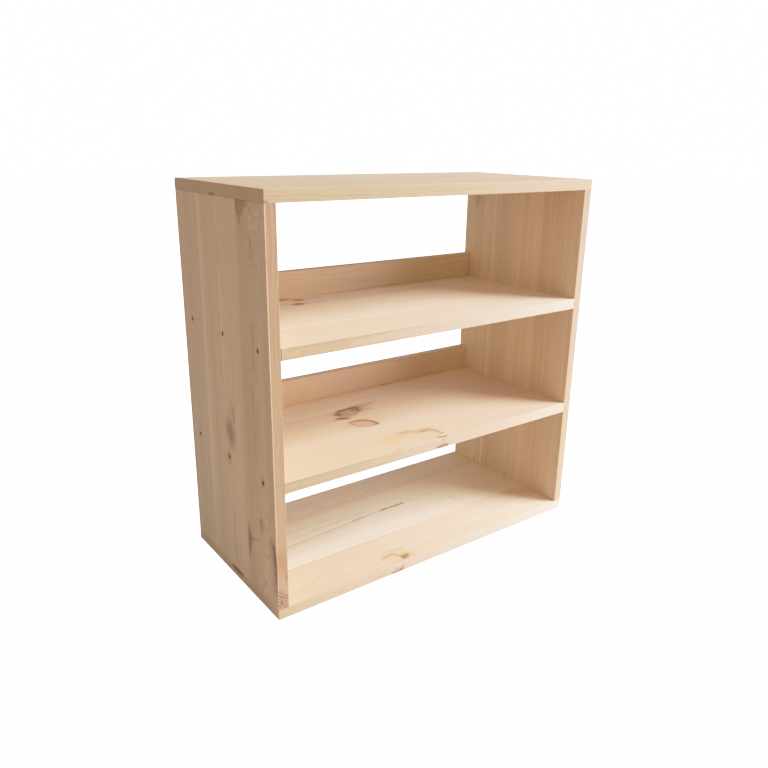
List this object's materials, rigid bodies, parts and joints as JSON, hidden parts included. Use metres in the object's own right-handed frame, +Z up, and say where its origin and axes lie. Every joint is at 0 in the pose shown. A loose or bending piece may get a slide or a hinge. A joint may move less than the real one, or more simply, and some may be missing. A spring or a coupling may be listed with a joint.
{
  "type": "open shelf rack",
  "caption": "Open-backed pine rack with glued-up side panels, screwed shelves and low back rails, for standing or laying bottles and goods on",
  "frame": {"origin": "middle of the footprint, on the floor under the bottom board", "axes": "+X to the right seen from the front, +Y to the back, +Z up; the open front faces -Y"},
  "size_m": [0.64, 0.3, 0.64],
  "materials": {
    "pine_board": "raw pine, sanded, unfinished, grain along the board",
    "pine_side": "raw pine, sanded, unfinished, grain upright",
    "pine_rail": "raw pine, sanded, unfinished, grain along the rail",
    "screw": "brown-coated steel wood screw"
  },
  "bodies": {
    "root": {"top_board_front_stave": "pine_board", "top_board_middle_stave": "pine_board", "top_board_back_stave": "pine_board", "bottom_board_front_stave": "pine_board", "bottom_board_middle_stave": "pine_board", "bottom_board_back_stave": "pine_board", "left_side_front_stave": "pine_side", "left_side_middle_stave": "pine_side", "left_side_back_stave": "pine_side", "right_side_front_stave": "pine_side", "right_side_middle_stave": "pine_side", "right_side_back_stave": "pine_side", "upper_shelf_front_stave": "pine_board", "upper_shelf_middle_stave": "pine_board", "upper_shelf_back_stave": "pine_board", "lower_shelf_front_stave": "pine_board", "lower_shelf_middle_stave": "pine_board", "lower_shelf_back_stave": "pine_board", "upper_back_rail": "pine_rail", "lower_back_rail": "pine_rail", "upper_shelf_left_screws": "screw", "upper_shelf_right_screws": "screw", "lower_shelf_left_screws": "screw", "lower_shelf_right_screws": "screw", "top_board_left_screws": "screw", "top_board_right_screws": "screw", "bottom_board_left_screws": "screw", "bottom_board_right_screws": "screw", "upper_rail_screws": "screw", "lower_rail_screws": "screw"}
  },
  "joints": []
}
